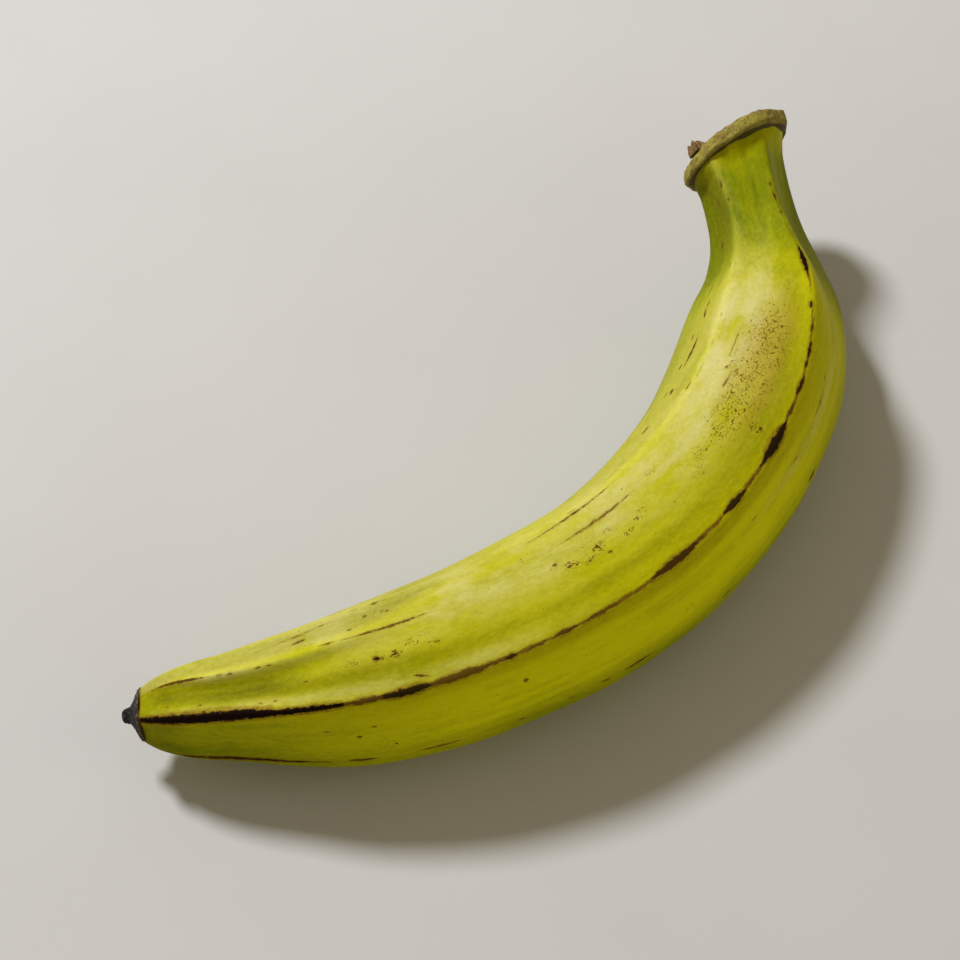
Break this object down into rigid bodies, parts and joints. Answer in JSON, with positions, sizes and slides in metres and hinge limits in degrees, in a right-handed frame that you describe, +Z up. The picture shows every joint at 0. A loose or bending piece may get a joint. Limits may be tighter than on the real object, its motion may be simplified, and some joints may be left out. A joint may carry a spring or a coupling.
{
  "type": "plantain",
  "caption": "Green plantain lying on its side, a bent ridged fruit with a dried flower end, a narrow neck and a corky cut crown.",
  "frame": {"origin": "under the middle of the fruit's bounding box, on the surface that it lies on", "axes": "+X from the dried flower end to the crown, the outside of the bend towards -Y, +Z up"},
  "size_m": [0.2593, 0.1013, 0.0548],
  "materials": {
    "peel": "satin",
    "crown": "matte",
    "dried_flower": "matte"
  },
  "bodies": {
    "root": {"plantain": "peel"}
  },
  "joints": []
}
